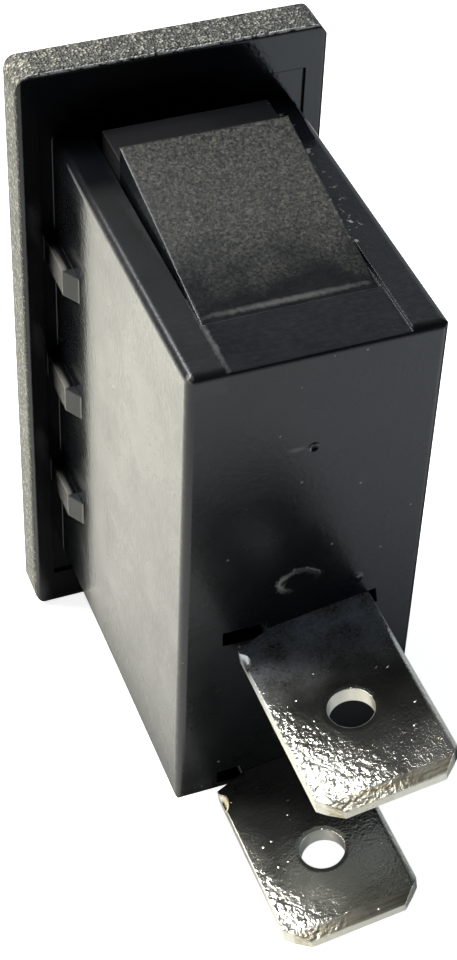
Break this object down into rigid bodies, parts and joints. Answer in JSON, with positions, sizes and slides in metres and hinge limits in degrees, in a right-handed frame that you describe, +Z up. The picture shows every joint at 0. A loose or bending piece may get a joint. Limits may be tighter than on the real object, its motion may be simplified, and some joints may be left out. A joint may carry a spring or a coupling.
{
  "type": "rocker switch",
  "caption": "Black snap-in rocker switch with a flanged bezel, sprung end tongues, side ribs and flat quick-connect blades at the rear.",
  "frame": {"origin": "middle of the bezel's rear face, on the plane where the panel sits", "axes": "+Z up the bezel's long side, +Y rearward along the blades, +X to the left when seen from behind"},
  "size_m": [0.0142, 0.0329, 0.032],
  "materials": {
    "black_nylon": "moulded",
    "rocker_black": "moulded",
    "acetal": "moulded",
    "spring_steel": "drawn wire",
    "lever_brass": "stamped",
    "contact_silver": "rolled",
    "plated_blade": "tin plated"
  },
  "bodies": {
    "base": {"housing": "black_nylon", "common_terminal": "plated_blade", "load_terminal": "plated_blade", "fixed_contact": "contact_silver"},
    "rocker": {"rocker": "rocker_black", "plunger_spring": "spring_steel"},
    "plunger": {"plunger": "acetal"},
    "lever": {"contact_lever": "lever_brass", "moving_contact": "contact_silver"}
  },
  "joints": [
    {"name": "rocker_tilt", "type": "hinge", "parent": "base", "child": "rocker", "pos_m": [0, 0.0006, 0], "axis": [-1, 0, 0], "range_deg": [0, 22]},
    {"name": "plunger_slide", "type": "slide", "parent": "rocker", "child": "plunger", "axis": [0, 0.9816, 0.1908], "range_m": [-0.0008, 0], "stiffness_N_per_m": 400, "springref_m": 0.0015, "deforming": ["plunger_spring"]},
    {"name": "lever_tilt", "type": "hinge", "parent": "base", "child": "lever", "pos_m": [0, 0.012, 0], "axis": [1, 0, 0], "range_deg": [0, 18]}
  ],
  "couplings": [
    {"joint": "lever_tilt", "follows": "rocker_tilt", "ratio": 0.81818}
  ]
}
